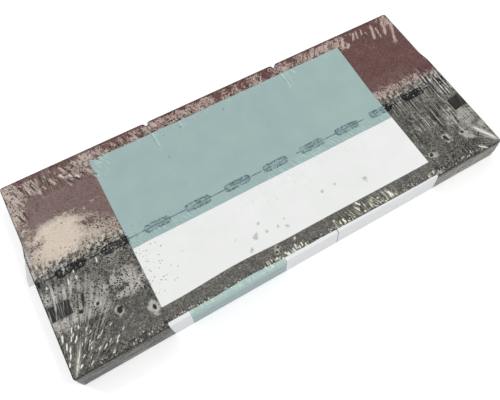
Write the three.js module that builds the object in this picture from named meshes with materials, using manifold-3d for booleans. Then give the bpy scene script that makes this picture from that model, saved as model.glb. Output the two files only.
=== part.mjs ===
// Bundle of three-tab bitumen roofing shingles in shrink film.
// Millimetres, +Z up. X runs along the strips, +Y points to the tab edge and Z = 0 is the film's
// underside, on which the bundle lies. The origin is the middle of the underside.

import * as THREE from 'three';
import { mergeVertices } from 'three/addons/utils/BufferGeometryUtils.js';
import Module from 'manifold-3d';

const wasm = await Module();
wasm.setup();

// Shingle strip: a header along one long edge, and tabs parted by slots along the other
const stripLength = 1000;
const stripWidth = 436;
const sheetThickness = 2.5;
const tabCount = 3;
const slotWidth = 10;
const slotDepth = 172;
const tabCornerRadius = 5;
const headerCornerRadius = 3.5;
const slotEndRadius = 2;

// Self-sealing adhesive: a row of raised dashes on the header side of the slots. The row is laid on
// the web before the strips are cut from it, so the ends of a strip may cut a dash short.
const dashLength = 60;
const dashWidth = 18;
const dashHeight = 0.25;
const dashPitch = 93;
const dashFromSlot = 64;
const firstDash = 69;

// Stack: every sheet lies the same way up, a little out of line with the one below
const sheetCount = 20;
const sheetGap = 0.25;
const slip = 1.2;
const slipTurn = 2.4;

// Shrink film: a skin over the whole stack, drawn into the slots, with an oval opening at each end
const filmThickness = 0.5;
const filmGap = 0.4;
const filmEdgeRadius = 1.25;
const dipDepth = 12;
const dipStraight = 6;
const stepBridge = 34;
const openingLength = 210;
const openingHeight = 34;

// Facets
const arcSegments = 2;
const ovalSegments = 10;

const sheetPitch = sheetThickness + dashHeight + sheetGap;
const tabPitch = stripLength / tabCount;
const halfLength = stripLength / 2;
const tabEdge = stripWidth / 2;
const slotEnd = tabEdge - slotDepth;
const filmStandoff = slip + filmGap;
const firstSheet = filmThickness + filmGap;
const stackHeight = sheetCount * sheetPitch - sheetGap;
const filmHeight = stackHeight + 2 * (filmThickness + filmGap);

const shingleMaterial = new THREE.MeshStandardMaterial({
  color: 0x6f5552,
  roughness: 0.95,
  metalness: 0,
});
const filmMaterial = new THREE.MeshStandardMaterial({
  color: 0xb9c4c0,
  roughness: 0.18,
  metalness: 0,
  transparent: true,
  opacity: 0.35,
});

// ---- outlines -------------------------------------------------------------------------------

// A corner of an outline, with the radius of its fillet
function corner(x, y, radius = 0) {
  return { point: new THREE.Vector2(x, y), radius };
}

// A counter-clockwise outline grown by distance: its edges move outward and meet at new corners
function offsetOutline(corners, distance) {
  return corners.map(({ point, radius }, i) => {
    const before = corners.at(i - 1).point;
    const after = corners[(i + 1) % corners.length].point;
    const along = point.clone().sub(before).normalize();
    const onward = after.clone().sub(point).normalize();
    const turn = along.cross(onward);
    const halfTurn = Math.atan2(turn, along.dot(onward)) / 2;
    const outward = new THREE.Vector2(along.y, -along.x).rotateAround(new THREE.Vector2(), halfTurn);
    const moved = point.clone().addScaledVector(outward, distance / Math.cos(halfTurn));
    return { point: moved, radius: Math.max(radius + Math.sign(turn) * distance, 0) };
  });
}

// The outline as a three.js shape, with an arc at each corner that has a radius
function filletedShape(corners) {
  const shape = new THREE.Shape();
  corners.forEach(({ point, radius }, i) => {
    const before = corners.at(i - 1).point;
    const after = corners[(i + 1) % corners.length].point;
    const along = point.clone().sub(before).normalize();
    const onward = after.clone().sub(point).normalize();
    const turn = Math.atan2(along.cross(onward), along.dot(onward));
    const setback = radius * Math.tan(Math.abs(turn) / 2);
    const start = point.clone().addScaledVector(along, -setback);
    if (i === 0) {
      shape.moveTo(start.x, start.y);
    } else {
      shape.lineTo(start.x, start.y);
    }
    if (setback > 0) {
      const side = Math.sign(turn);
      const toCentre = new THREE.Vector2(-along.y, along.x).multiplyScalar(side * radius);
      const centre = start.clone().add(toCentre);
      const end = point.clone().addScaledVector(onward, setback);
      const startAngle = Math.atan2(start.y - centre.y, start.x - centre.x);
      const endAngle = Math.atan2(end.y - centre.y, end.x - centre.x);
      shape.absarc(centre.x, centre.y, radius, startAngle, endAngle, turn < 0);
    }
  });
  shape.closePath();
  return shape;
}

// Middles of the slots between neighbouring tabs, from the right to the left
function slotMiddles() {
  return Array.from({ length: tabCount - 1 }, (_, i) => halfLength - (i + 1) * tabPitch);
}

// Strip outline: square header, full slots between the tabs and half a slot at each end
function stripOutline() {
  const half = slotWidth / 2;
  const slots = slotMiddles().flatMap((x) => [
    corner(x + half, tabEdge, tabCornerRadius),
    corner(x + half, slotEnd, slotEndRadius),
    corner(x - half, slotEnd, slotEndRadius),
    corner(x - half, tabEdge, tabCornerRadius),
  ]);
  return [
    corner(-halfLength, -tabEdge, headerCornerRadius),
    corner(halfLength, -tabEdge, headerCornerRadius),
    corner(halfLength, slotEnd, slotEndRadius),
    corner(halfLength - half, slotEnd, slotEndRadius),
    corner(halfLength - half, tabEdge, tabCornerRadius),
    ...slots,
    corner(half - halfLength, tabEdge, tabCornerRadius),
    corner(half - halfLength, slotEnd, slotEndRadius),
    corner(-halfLength, slotEnd, slotEndRadius),
  ];
}

// Film outline, lying on the strips: it dips into each slot's mouth and slants across the end steps
function filmOutline() {
  const half = slotWidth / 2;
  const dips = slotMiddles().flatMap((x) => [
    corner(x + half, tabEdge, tabCornerRadius),
    corner(x + half, tabEdge - dipStraight),
    corner(x, tabEdge - dipDepth),
    corner(x - half, tabEdge - dipStraight),
    corner(x - half, tabEdge, tabCornerRadius),
  ]);
  return [
    corner(-halfLength, -tabEdge, headerCornerRadius),
    corner(halfLength, -tabEdge, headerCornerRadius),
    corner(halfLength, slotEnd, slotEndRadius),
    corner(halfLength - half, slotEnd + stepBridge),
    corner(halfLength - half, tabEdge, tabCornerRadius),
    ...dips,
    corner(half - halfLength, tabEdge, tabCornerRadius),
    corner(half - halfLength, slotEnd + stepBridge),
    corner(-halfLength, slotEnd, slotEndRadius),
  ];
}

// ---- solids ---------------------------------------------------------------------------------

// A three.js geometry as a solid that can be cut and joined
function solidFrom(geometry) {
  const bare = geometry.clone();
  bare.deleteAttribute('normal');
  bare.deleteAttribute('uv');
  const merged = mergeVertices(bare);
  return new wasm.Manifold(new wasm.Mesh({
    numProp: 3,
    vertProperties: new Float32Array(merged.attributes.position.array),
    triVerts: new Uint32Array(merged.index.array),
  }));
}

function geometryFrom(solid) {
  const { vertProperties, triVerts } = solid.getMesh();
  const geometry = new THREE.BufferGeometry();
  geometry.setAttribute('position', new THREE.BufferAttribute(vertProperties, 3));
  geometry.setIndex(new THREE.BufferAttribute(triVerts, 1));
  geometry.computeVertexNormals();
  return geometry;
}

function namedMesh(name, geometry, material) {
  const mesh = new THREE.Mesh(geometry, material);
  mesh.name = name;
  return mesh;
}

// ---- shingles -------------------------------------------------------------------------------

// The dashes of adhesive: flat bars in a row along the strip, rooted in its face. firstDash is the
// middle of the first whole one, measured from the left end.
function sealDashes() {
  const rooted = sheetThickness / 2 + dashHeight;
  const reach = dashLength / 2;
  const bars = [];
  for (let middle = firstDash - dashPitch; middle - reach < stripLength; middle += dashPitch) {
    const start = Math.max(middle - reach, 0);
    const end = Math.min(middle + reach, stripLength);
    if (end > start) {
      const bar = new THREE.BoxGeometry(end - start, dashWidth, rooted);
      const along = (start + end) / 2 - halfLength;
      bar.translate(along, slotEnd - dashFromSlot, sheetThickness / 2 + rooted / 2);
      bars.push(solidFrom(bar));
    }
  }
  return bars;
}

function shingleGeometry() {
  const sheet = solidFrom(new THREE.ExtrudeGeometry(filletedShape(stripOutline()), {
    depth: sheetThickness,
    bevelEnabled: false,
    curveSegments: arcSegments,
  }));
  return geometryFrom(sealDashes().reduce((strip, dash) => strip.add(dash), sheet));
}

// The stack: each sheet's slip turns round a small circle as the stack rises
function buildStack() {
  const stack = new THREE.Group();
  const geometry = shingleGeometry();
  for (let i = 0; i < sheetCount; i += 1) {
    const name = `shingle_${String(i + 1).padStart(2, '0')}`;
    const shingle = namedMesh(name, geometry, shingleMaterial);
    shingle.position.set(
      slip * Math.cos(i * slipTurn),
      slip * Math.sin(i * slipTurn),
      firstSheet + i * sheetPitch,
    );
    stack.add(shingle);
  }
  return stack;
}

// ---- film -----------------------------------------------------------------------------------

// A block with the film's outline grown by distance, its top and bottom edges rounded
function filmBlock(distance, bottom, top, edgeRadius) {
  const shape = filletedShape(offsetOutline(filmOutline(), distance));
  const geometry = new THREE.ExtrudeGeometry(shape, {
    depth: top - bottom - 2 * edgeRadius,
    bevelEnabled: true,
    bevelSize: edgeRadius,
    bevelThickness: edgeRadius,
    bevelOffset: -edgeRadius,
    bevelSegments: 2,
    curveSegments: arcSegments,
  });
  geometry.translate(0, 0, bottom + edgeRadius);
  return solidFrom(geometry);
}

// The oval that the shrunk film leaves open round the middle of an end
function endOpening(side) {
  const oval = new THREE.Shape();
  oval.absellipse(0, 0, openingLength / 2, openingHeight / 2, 0, 2 * Math.PI);
  const depth = 2 * (filmStandoff + filmThickness) + slotWidth;
  const geometry = new THREE.ExtrudeGeometry(oval, {
    depth,
    bevelEnabled: false,
    curveSegments: ovalSegments,
  });
  const middle = (slotEnd - tabEdge) / 2;
  geometry.translate(0, 0, -depth / 2);
  geometry.rotateX(Math.PI / 2);
  geometry.rotateZ(Math.PI / 2);
  geometry.translate(side * halfLength, middle, filmHeight / 2);
  return solidFrom(geometry);
}

function filmGeometry() {
  const outside = filmBlock(filmStandoff + filmThickness, 0, filmHeight, filmEdgeRadius);
  const inside = filmBlock(
    filmStandoff,
    filmThickness,
    filmHeight - filmThickness,
    filmEdgeRadius - filmThickness,
  );
  const wrapped = outside
    .subtract(inside)
    .subtract(endOpening(1))
    .subtract(endOpening(-1));
  return geometryFrom(wrapped);
}

const bundle = new THREE.Group();
bundle.name = 'shingle_bundle';
bundle.add(buildStack());
bundle.add(namedMesh('shrink_film', filmGeometry(), filmMaterial));

export default bundle;
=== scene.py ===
import math
from functools import reduce

import bpy
import numpy as np
from mathutils import Matrix, Vector


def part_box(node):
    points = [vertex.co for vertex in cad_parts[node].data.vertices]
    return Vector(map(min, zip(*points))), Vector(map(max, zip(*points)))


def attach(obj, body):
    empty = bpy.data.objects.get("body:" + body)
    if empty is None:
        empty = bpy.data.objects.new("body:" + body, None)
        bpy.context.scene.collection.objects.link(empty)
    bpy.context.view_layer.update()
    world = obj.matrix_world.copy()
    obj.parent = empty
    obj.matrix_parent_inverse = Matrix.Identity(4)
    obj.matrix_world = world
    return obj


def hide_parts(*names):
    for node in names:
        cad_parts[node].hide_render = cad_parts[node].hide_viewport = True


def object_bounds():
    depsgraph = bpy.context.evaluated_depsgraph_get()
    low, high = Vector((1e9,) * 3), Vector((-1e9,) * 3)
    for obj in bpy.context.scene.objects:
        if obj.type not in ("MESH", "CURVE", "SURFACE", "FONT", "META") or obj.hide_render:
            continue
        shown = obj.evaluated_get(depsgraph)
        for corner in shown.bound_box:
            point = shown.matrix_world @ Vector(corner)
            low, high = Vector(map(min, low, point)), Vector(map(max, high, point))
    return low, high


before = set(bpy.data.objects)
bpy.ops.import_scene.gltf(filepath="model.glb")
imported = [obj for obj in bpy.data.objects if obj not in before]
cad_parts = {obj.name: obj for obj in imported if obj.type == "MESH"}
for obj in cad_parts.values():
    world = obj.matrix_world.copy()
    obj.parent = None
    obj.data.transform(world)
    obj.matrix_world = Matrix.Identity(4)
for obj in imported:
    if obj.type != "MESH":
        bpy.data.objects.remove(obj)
CAD_LOW, CAD_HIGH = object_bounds()

# ---- sizes: millimetres in the part's own frame, with +Y towards the tabs
MM = 0.001
FILM_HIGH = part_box("shrink_film")[1]
HALF_X, HALF_Y, HEIGHT = FILM_HIGH.x / MM, FILM_HIGH.y / MM, FILM_HIGH.z / MM
SHINGLES = [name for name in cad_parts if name.startswith("shingle_")]
TOP_SHEET = max(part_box(name)[1].z for name in SHINGLES) / MM

# The strip's cut and its seal dashes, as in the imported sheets
SLOT_X = (-1000 / 6, 1000 / 6)
SLOT_END = 46.0
STEP_INSET, STEP_BRIDGE = 5.0, 34.0
DASH_PITCH, DASH_LENGTH, DASH_WIDTH = 93.0, 60.0, 19.0
DASH_START, DASH_Y = -461.0, -18.5

# The oval openings in the film's ends
OPENING_Y, OPENING_Z = -86.0, HEIGHT / 2
OPENING_LENGTH, OPENING_HEIGHT = 210.0, 34.0

# The print on the film: the panel on top, the marks at the ends and the strip on the near side
PANEL_X, PANEL_Y, TEAL_END = (-311.0, 325.0), (-178.5, 187.0), -44.5
LEFT_MARK, RIGHT_MARK, MARK_Y = -458.0, 464.5, (-104.0, -72.5)
STRIP_X, STRIP_TEAL, STRIP_CUT = (-313.5, 321.0), (-270.0, -58.0), 64.0
NEAR_LEFT, NEAR_RIGHT = (-HALF_X - 3, -HALF_Y - 30), (HALF_X + 3, -HALF_Y - 5)

# ---- colours, as sRGB bytes ------------------------------
RED_GRANULES = ((74, 44, 42), (119, 81, 78), (166, 129, 123))
GREY_GRANULES = ((44, 43, 41), (102, 101, 96), (174, 171, 161))
BITUMEN = (20, 22, 25)
EDGE_FELT, SAND = (96, 93, 87), (78, 75, 70)
TEAL_INK = ((156, 179, 180), (166, 190, 186))
TEAL_SHADE, TEAL_LIGHT = (84, 106, 112), (198, 226, 220)
# painted highlights and painted shade of the print's wrinkles, and the grey of its smudges, which is also
# a painted shade line over the slots
PLEAT_HIGHLIGHT = ((250, 251, 250), TEAL_LIGHT)  # on white and on teal, as are the next two
PLEAT_SHADE, SMUDGE_AND_SHADE = ((200, 204, 204), (134, 164, 162)), ((158, 160, 158), (112, 138, 138))
STRIP_TEAL_INK = ((162, 181, 184), (178, 202, 197))
WHITE_INK = ((236, 238, 236), (245, 246, 245))
STRIP_WHITE, STRIP_RIM = (238, 240, 242), (244, 246, 250)
GREY_INK, DARK_INK, INK_STREAK = (122, 124, 127), (42, 42, 39), (150, 148, 145)
CREAM, PINK_CREAM, PINK = (226, 212, 196), (208, 192, 183), (212, 187, 179)
PALE_GREY = (207, 204, 195)
# colours of the film's white haze; the grey one is also a painted sheen over the near corners' folds
MAUVE_VEIL, GREY_VEIL_AND_SHEEN = (178, 162, 158), (172, 170, 163)
# a painted highlight for fold lines, then the dark of flecks, which is also painted shade in creases and
# holes, on the header and on the tabs
FOLD_HIGHLIGHT, SHADE_AND_FLECK_DARK, TAB_SHADE_AND_FLECK = (190, 187, 177), (47, 43, 37), (70, 51, 46)
# painted glints and highlights; the bead colour is a painted glint too
GLINT_WARM, GLINT_COOL, GLINT_WHITE = (250, 246, 222), (200, 200, 211), (250, 249, 245)
GLINT_TABS, BEAD_GLINT = (238, 220, 212), (222, 219, 208)
# an olive painted shade between the near edge's glints, and darker tones of the dust on the tabs and the
# header
OLIVE_SHADE_AND_FLECK, TAB_SHADE, HEADER_SHADE = (86, 78, 56), (110, 99, 91), (98, 96, 90)
SIDE_VEIL, SIDE_WIPED = ((92, 92, 86), (160, 156, 145)), (158, 158, 152)
EAR_VEIL = (168, 170, 168)


def linear(colour):
    """An sRGB byte colour as Blender's linear RGBA."""
    def one(c):
        c /= 255
        return c / 12.92 if c <= 0.04045 else ((c + 0.055) / 1.055) ** 2.4
    return (*(one(c) for c in colour), 1.0)


def added(name, data):
    """A new object in the scene."""
    thing = bpy.data.objects.new(name, data)
    bpy.context.collection.objects.link(thing)
    return thing


# ---- node trees ------------------------------------------
class Value:
    """An output of a node. Sums, differences and products of values add nodes that work them out."""

    def __init__(self, tree, node, output=0):
        self.tree, self.node, self.output = tree, node, output

    def __getitem__(self, output):
        """Another output of the same node, by name or number."""
        return Value(self.tree, self.node, output)

    def __add__(self, other):
        return self.tree.maths("ADD", self, other)

    def __radd__(self, other):
        return self.tree.maths("ADD", other, self)

    def __sub__(self, other):
        return self.tree.maths("SUBTRACT", self, other)

    def __rsub__(self, other):
        return self.tree.maths("SUBTRACT", other, self)

    def __mul__(self, other):
        return self.tree.maths("MULTIPLY", self, other)

    def away(self, middle):
        """How far the value is from its middle."""
        return self.tree.maths("ABSOLUTE", self - middle)

    def swing(self, reach):
        """Noise of 0 to 1 as an offset of up to half the reach to either side."""
        return (self - 0.5) * reach

    def rise(self, low, high, start=0.0, end=1.0):
        """start up to low and end from high on, with a smooth change between."""
        inputs = {"Value": self, "From Min": low, "From Max": high, "To Min": start, "To Max": end}
        return self.tree.new("ShaderNodeMapRange", inputs, interpolation_type="SMOOTHSTEP")

    def fall(self, low, high):
        return self.rise(low, high, 1.0, 0.0)

    def between(self, low, high, soft=0.5):
        return (self - low).rise(-soft, soft) * (self - high).fall(-soft, soft)


class Tree:
    """The nodes of a material or a world. Its methods add nodes; x, y and z are in millimetres."""

    def __init__(self, owner):
        owner.use_nodes = True
        self.owner, self.nodes, self.links = owner, owner.node_tree.nodes, owner.node_tree.links
        self.nodes.clear()
        self.place = self.mapped(self.new("ShaderNodeTexCoord")["Object"], (MM, MM, MM))
        self.x, self.y, self.z = self.split(self.place)

    def new(self, kind, inputs=None, **settings):
        """Adds a node and gives its first output. Its inputs go by name or number."""
        node = self.nodes.new(kind)
        for name, value in settings.items():
            setattr(node, name, value)
        for key, value in (inputs or {}).items():
            if isinstance(value, Value):
                self.links.new(value.node.outputs[value.output], node.inputs[key])
            else:
                node.inputs[key].default_value = value
        return Value(self, node)

    def split(self, vector):
        parts = self.new("ShaderNodeSeparateXYZ", {0: vector})
        return parts[0], parts[1], parts[2]

    def mapped(self, vector, unit, turn=0.0):
        """A place measured in the given units, along axes that are turned by an angle in degrees."""
        inputs = {"Vector": vector, "Rotation": (0, 0, math.radians(turn)), "Scale": unit}
        return self.new("ShaderNodeMapping", inputs, vector_type="TEXTURE")

    def maths(self, operation, a, b=0.0, c=0.0):
        return self.new("ShaderNodeMath", {0: a, 1: b, 2: c}, operation=operation)

    def greatest(self, *values):
        return reduce(lambda a, b: self.maths("MAXIMUM", a, b), values)

    def choose(self, factor, a, b):
        """A number between a and b."""
        return self.maths("MULTIPLY_ADD", factor, self.maths("SUBTRACT", b, a), a)

    def near_top(self, low, high):
        """0 from low mm below the film's top down, and 1 from high mm below it up."""
        return self.z.rise(HEIGHT - low, HEIGHT - high)

    def noise_at(self, vector, detail, roughness=0.5):
        """Smooth noise of 0 to 1 whose features are about one unit across."""
        inputs = {"Vector": vector, "Scale": 1.0, "Detail": detail, "Roughness": roughness}
        return self.new("ShaderNodeTexNoise", inputs)

    def noise(self, size, detail=2.0, roughness=0.5):
        """The same with features of a size in millimetres: one number, or one for each axis."""
        unit = size if isinstance(size, tuple) else (size, size, size)
        return self.noise_at(self.mapped(self.place, unit), detail, roughness)

    def streaks(self, across, along, angle, detail=1.0):
        """Noise drawn out at an angle from +X: features across mm wide and along mm long."""
        return self.noise_at(self.mapped(self.place, (across, along, along), angle - 90), detail)

    def fan(self, corner, across, along):
        """Noise drawn out in rays from a corner, across mm wide where they are 80 mm from it."""
        dx, dy = self.x - corner[0], self.y - corner[1]
        far = self.maths("SQRT", dx * dx + dy * dy)
        ray = self.maths("ARCTAN2", dy, dx) * (80 / across)
        return self.noise_at(self.new("ShaderNodeCombineXYZ", {0: ray, 1: far * (1 / along)}), 1.0)

    def cells(self, size, stretch=1.0, turn=0.0):
        """A random value for each cell of about size millimetres, and the distance in it."""
        place = self.mapped(self.place, (size, size * stretch, size), turn)
        found = self.new("ShaderNodeTexVoronoi", {"Vector": place, "Scale": 1.0})
        return self.split(found["Color"])[0], found["Distance"]

    def attribute(self, name):
        return self.new("ShaderNodeAttribute", attribute_name=name)["Fac"]

    def facing(self):
        """How much the surface looks up: 1 on top, 0 on the sides and -1 below."""
        return self.split(self.new("ShaderNodeNewGeometry")["Normal"])[2]

    def blend(self, factor, a, b):
        """A colour between a and b, which are colours as bytes or values."""
        a, b = (linear(value) if isinstance(value, tuple) else value for value in (a, b))
        return self.new("ShaderNodeMix", {0: factor, 6: a, 7: b}, data_type="RGBA")[2]

    def shades(self, value, dark, middling, light):
        """A colour that runs from dark at 0 through middling at a half to light at 1."""
        lower = self.blend(value.rise(0.0, 0.5), dark, middling)
        return self.blend(value.rise(0.5, 1.0), lower, light)

    def over(self, below, colour, cover):
        """Lays a colour over a pair of colour and cover, and gives such a pair."""
        shown = 1 - (1 - below[1]) * (1 - cover)
        share = self.maths("DIVIDE", cover, self.maths("MAXIMUM", shown, 0.001))
        return self.blend(share, below[0], colour), shown

    def bump(self, height, strength, distance, below=None):
        """Relief from a height, over another relief. The distance is in millimetres."""
        inputs = {"Height": height, "Strength": strength, "Distance": distance * MM}
        if below is not None:
            inputs["Normal"] = below
        return self.new("ShaderNodeBump", inputs)

    def principled(self, colour, roughness, normal, specular):
        inputs = {"Base Color": colour, "Roughness": roughness, "Specular IOR Level": specular}
        return self.new("ShaderNodeBsdfPrincipled", {**inputs, "Normal": normal})

    def mix(self, factor, a, b):
        return self.new("ShaderNodeMixShader", {0: factor, 1: a, 2: b})

    def finish(self, shader, output="ShaderNodeOutputMaterial"):
        self.new(output, {"Surface": shader})
        return self.owner


def seal_dashes(t, thin, thick):
    """The seal dashes: bars with a lumpy rim and rows of lumps inside, joined by a thin line.

    Between the lumps the cover varies from thin to thick.
    """
    ragged = t.noise(5, 1).swing(4.5)
    x = t.x + t.noise(17, 2).swing(9) + ragged
    y = t.y + t.noise(13, 2).swing(4) + ragged
    along = t.maths("FLOORED_MODULO", x - DASH_START, DASH_PITCH)
    across = y.away(DASH_Y)
    corner = 7.5
    past_end = t.greatest(along.away(DASH_LENGTH / 2) - (DASH_LENGTH / 2 - corner), 0.0)
    past_side = t.greatest(across - (DASH_WIDTH / 2 - corner), 0.0)
    out = t.maths("SQRT", past_end * past_end + past_side * past_side)
    inside = out.fall(corner - 0.6, corner + 0.6)
    rim = out.rise(corner - 4.6, corner - 3.6)
    _, from_middle = t.cells(4.0, 0.8)
    lump = from_middle.fall(0.48, 0.72)
    rows = t.noise((13, 3.2, 3.2), 1).rise(0.46, 0.56)
    chance, from_grit = t.cells(4.8)
    grit = chance.rise(0.60, 0.66) * from_grit.fall(0.28, 0.44) * 0.9
    between = t.noise(6, 2).rise(0.38, 0.5, thin, thick)
    lumps = t.greatest(rim, rows * 0.9) * t.choose(lump, 0.3, 1.0)
    line = t.y.away(DASH_Y).fall(0.7, 1.4) * t.noise(26, 1).rise(0.38, 0.46)
    return t.greatest(inside * t.greatest(lumps, between) * (1 - grit), line)


# ---- shingles --------------------------------------------
def shingle_material():
    """Felt coated with bitumen, with red granules on the tabs and grey ones on the header."""
    t = Tree(bpy.data.materials.new("granule_shingle"))
    grain, grain_edge = t.cells(2.4)
    coarse, _ = t.cells(5.0)
    drift = t.noise(40, 3, 0.6)
    tone = grain * 0.62 + coarse * 0.2 + drift.swing(0.25) + 0.09
    grey = t.shades(tone, *GREY_GRANULES)
    rough = t.x.rise(-100, 300, 0.6, 0.36)
    fine = grain.swing(1.0) * rough
    red_tone = fine + coarse.swing(0.14) + drift.swing(0.4) + 0.5
    red = t.shades(red_tone, *RED_GRANULES)
    border = t.y + t.noise(26, 5, 0.66).swing(44) + grain.swing(12)
    face = t.blend(border.rise(10.0, 22.0), grey, red)
    face = t.blend(seal_dashes(t, 0.6, 0.95) * 0.96, face, BITUMEN)
    layers = t.noise((14, 14, 1.3), 3)
    edge = t.blend(layers.rise(0.35, 0.7), BITUMEN, EDGE_FELT)
    sand = t.blend(grain.rise(0.1, 0.9), BITUMEN, SAND)
    colour = t.blend(t.facing().rise(0.4, 0.6), edge, face)
    colour = t.blend(t.facing().fall(-0.6, -0.4), colour, sand)
    relief = t.bump(grain_edge, 0.5, 0.5)
    return t.finish(t.principled(colour, 0.9, relief, 0.25))


# ---- film: plan shape ------------------------------------
RIM = 2.5  # radius of the film's bend from the top into the sides
TOP_X, TOP_Y = HALF_X - RIM, HALF_Y - RIM
CORNER = 3.5
# How far the film is drawn into a slot's mouth, by the distance from the slot's middle
DIP_AT = np.array([0, 2.0, 4.0, 5.0, 6.0, 7.0, 9.0, 11.0])
DIP_BY = np.array([8.2, 8.2, 8.0, 5.5, 3.2, 1.6, 0.4, 0])
DIP_FADE = 40.0
# The grid's lines, as stretches of (start, end, step)
GRID_X = ((-TOP_X, -311, 1.7), (-311, 325, 3.5), (325, TOP_X, 1.8))
GRID_Y = ((-TOP_Y, -175, 1.8), (-175, -100, 2.3), (-100, 150, 3.2), (150, TOP_Y, 2.2))


def smooth(value, low, high):
    s = np.clip((value - low) / (high - low), 0, 1)
    return s * s * (3 - 2 * s)


def grid_lines(stretches, fine_at=()):
    lines = [stretches[0][0]]
    for start, end, step in stretches:
        lines += list(np.linspace(start, end, round((end - start) / step) + 1)[1:])
    for middle in fine_at:
        lines = [v for v in lines if abs(v - middle) > DIP_AT[-1]]
        lines += [middle + v for v in np.unique(np.concatenate([-DIP_AT, DIP_AT]))]
    return np.array(sorted(lines))


def round_corner(x, y, corner_x, corner_y):
    """Draws the points near a square corner in, so that its outline is a quarter circle."""
    sx, sy = math.copysign(1, corner_x), math.copysign(1, corner_y)
    a = (x * sx - (abs(corner_x) - CORNER)) / CORNER
    b = (y * sy - (abs(corner_y) - CORNER)) / CORNER
    inside = (a > 0) & (b > 0)
    scale = np.where(inside, np.maximum(a, b) / np.maximum(np.hypot(a, b), 1e-9), 1)
    x = np.where(inside, sx * (abs(corner_x) - CORNER + a * scale * CORNER), x)
    y = np.where(inside, sy * (abs(corner_y) - CORNER + b * scale * CORNER), y)
    return x, y


def plan(x, y):
    """Carries the places of a rectangle to the wrapped outline."""
    for corner_x in (-TOP_X, TOP_X):
        for corner_y in (-TOP_Y, TOP_Y):
            x, y = round_corner(x, y, corner_x, corner_y)
    inset = STEP_INSET * smooth(y, SLOT_END - 6, SLOT_END + STEP_BRIDGE)
    dip = sum(np.interp(np.abs(x - slot), DIP_AT, DIP_BY) for slot in SLOT_X)
    return x * (TOP_X - inset) / TOP_X, y - dip * smooth(y, TOP_Y - DIP_FADE, TOP_Y) ** 2


# ---- film: marks -----------------------------------------
def waves(x, y, pitch, seed, count=18):
    """Smooth seeded noise of about unit size: plane waves of many directions, added up."""
    rng = np.random.default_rng(seed)
    total = np.zeros_like(x)
    for _ in range(count):
        angle, phase = rng.uniform(0, 2 * math.pi, 2)
        number = 2 * math.pi / (pitch * rng.uniform(0.6, 1.7))
        total += np.sin((x * math.cos(angle) + y * math.sin(angle)) * number + phase)
    return total / math.sqrt(count / 2)


class Canvas:
    """The film's top in millimetres: its lift over the sheets, and how strong each mark is.

    pale is the share of dust under the film, veil a white haze and also a painted sheen on the near
    corners' folds, speck dark flecks, fold long painted highlights and painted shade, glint short
    painted glints, shine a painted highlight along a fold, dark a hole or crease, darkened with painted
    shade, pleat the print's wrinkles in painted highlights and painted shade, and smudge its grey
    marks and a painted shade line over each slot.
    """

    MARKS = ("pale", "veil", "speck", "fold", "glint", "shine", "dark", "pleat", "smudge")

    def __init__(self, x, y):
        self.x, self.y = x, y
        self.lift = np.zeros_like(x)
        self.ragged = waves(x, y, 24, 3) * 0.5 + waves(x, y, 9, 4) * 0.35
        for name in self.MARKS:
            setattr(self, name, np.zeros_like(x))

    def lay(self, shape, lift=0.0, **marks):
        self.lift += lift * shape
        for name, strength in marks.items():
            kept = getattr(self, name)
            kept += strength * shape * (1 - kept) if strength > 0 else strength * shape * kept

    def stroke(self, x0, y0, x1, y1, width, **marks):
        """A mark along a line, thin at both ends."""
        length = math.hypot(x1 - x0, y1 - y0)
        ux, uy = (x1 - x0) / length, (y1 - y0) / length
        dx, dy = self.x - x0, self.y - y0
        along, across = (dx * ux + dy * uy) / length, dx * uy - dy * ux
        body = smooth(along, -0.05, 0.25) * (1 - smooth(along, 0.7, 1.05))
        self.lay(np.exp(-(across / width) ** 2) * body, **marks)

    def patch(self, x, y, width, depth, angle=0.0, soft=0.3, ragged=0.3, **marks):
        """A patch with a ragged edge: an oval of the given half width and half depth."""
        c, s = math.cos(math.radians(angle)), math.sin(math.radians(angle))
        dx, dy = self.x - x, self.y - y
        far = np.hypot((dx * c + dy * s) / width, (-dx * s + dy * c) / depth) + ragged * self.ragged
        self.lay(1 - smooth(far, 1 - soft, 1 + soft), **marks)

    def each(self, draw, names, rows, **same):
        """Draws a mark for every row. A row ends with how strong the named marks are."""
        names = names.split()
        for row in rows:
            end = len(row) - len(names)
            draw(*row[:end], **dict(zip(names, row[end:])), **same)

    def band(self, low, high, soft, x0=-600, x1=600, ragged=0.0, **marks):
        """A level stretch of the film between two heights of y."""
        y = self.y + ragged * self.ragged
        level = smooth(y, low - soft, low + soft) * (1 - smooth(y, high - soft, high + soft))
        side = smooth(self.x, x0 - 6, x0 + 6) * (1 - smooth(self.x, x1 - 6, x1 + 6))
        self.lay(level * side, **marks)


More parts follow.
